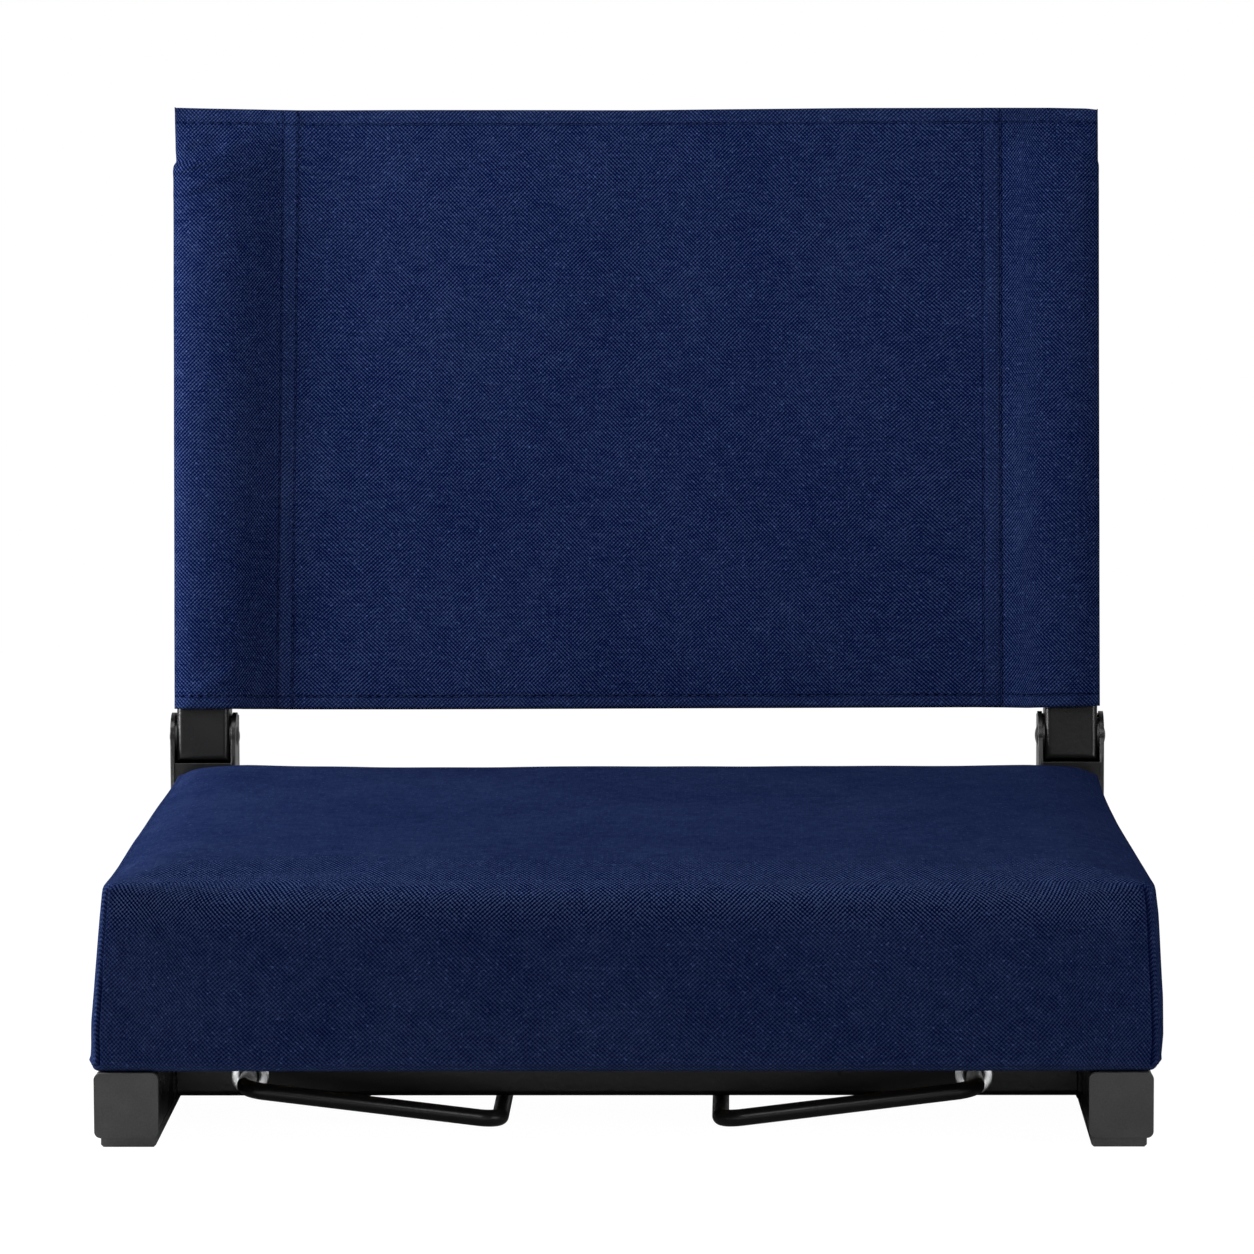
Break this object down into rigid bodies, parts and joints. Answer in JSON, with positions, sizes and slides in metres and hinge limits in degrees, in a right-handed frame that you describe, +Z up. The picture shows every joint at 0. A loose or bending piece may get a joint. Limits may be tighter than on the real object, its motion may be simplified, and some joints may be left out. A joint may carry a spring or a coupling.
{
  "type": "stadium seat",
  "caption": "Padded folding stadium seat: tube frame, thick box cushion, cloth back on two hinged posts that fold forward, and swinging hooks that hold it on a bench",
  "frame": {"origin": "middle of the overall box on the plane that the feet stand on", "axes": "+X to the right as seen from in front of the seat, +Y from the front edge to the back, +Z up"},
  "size_m": [0.4316, 0.3884, 0.4101],
  "materials": {
    "black_paint": "gloss black powder coat on steel tube and rod",
    "grey_rubber": "matt dark grey moulded rubber",
    "plywood": "bare sanded plywood",
    "foam": "open-cell seat foam, hidden in the cover",
    "navy_cloth": "navy basket-weave polyester, sewn with navy thread",
    "zinc": "bright zinc plate",
    "nylon": "black nylon"
  },
  "bodies": {
    "seat": {"rail_left": "black_paint", "rail_right": "black_paint", "upright_left": "black_paint", "upright_right": "black_paint", "front_crossbar": "black_paint", "rear_crossbar": "black_paint", "foot_front_left": "grey_rubber", "foot_front_right": "grey_rubber", "foot_rear_left": "grey_rubber", "foot_rear_right": "grey_rubber", "seat_board": "plywood", "seat_foam": "foam", "seat_cover": "navy_cloth", "seat_screws": "zinc", "hinge_rivet_left": "black_paint", "hinge_rivet_right": "black_paint", "hinge_washers": "nylon", "hook_washers": "zinc"},
    "back": {"back_post_left": "black_paint", "back_post_right": "black_paint", "post_cap_left": "grey_rubber", "post_cap_right": "grey_rubber", "back_cover": "navy_cloth"},
    "left_hook": {"hook_left": "black_paint", "hook_nut_left": "zinc"},
    "right_hook": {"hook_right": "black_paint", "hook_nut_right": "zinc"}
  },
  "joints": [
    {"name": "back_fold", "type": "hinge", "parent": "seat", "child": "back", "pos_m": [0, 0.15479, 0.1238], "axis": [1, 0, 0], "range_deg": [0, 93]},
    {"name": "left_hook_swing", "type": "hinge", "parent": "seat", "child": "left_hook", "pos_m": [-0.1567, -0.1, 0.0166], "axis": [0, 1, 0], "range_deg": [0, 90]},
    {"name": "right_hook_swing", "type": "hinge", "parent": "seat", "child": "right_hook", "pos_m": [0.1445, -0.1, 0.0166], "axis": [0, -1, 0], "range_deg": [0, 90]}
  ]
}
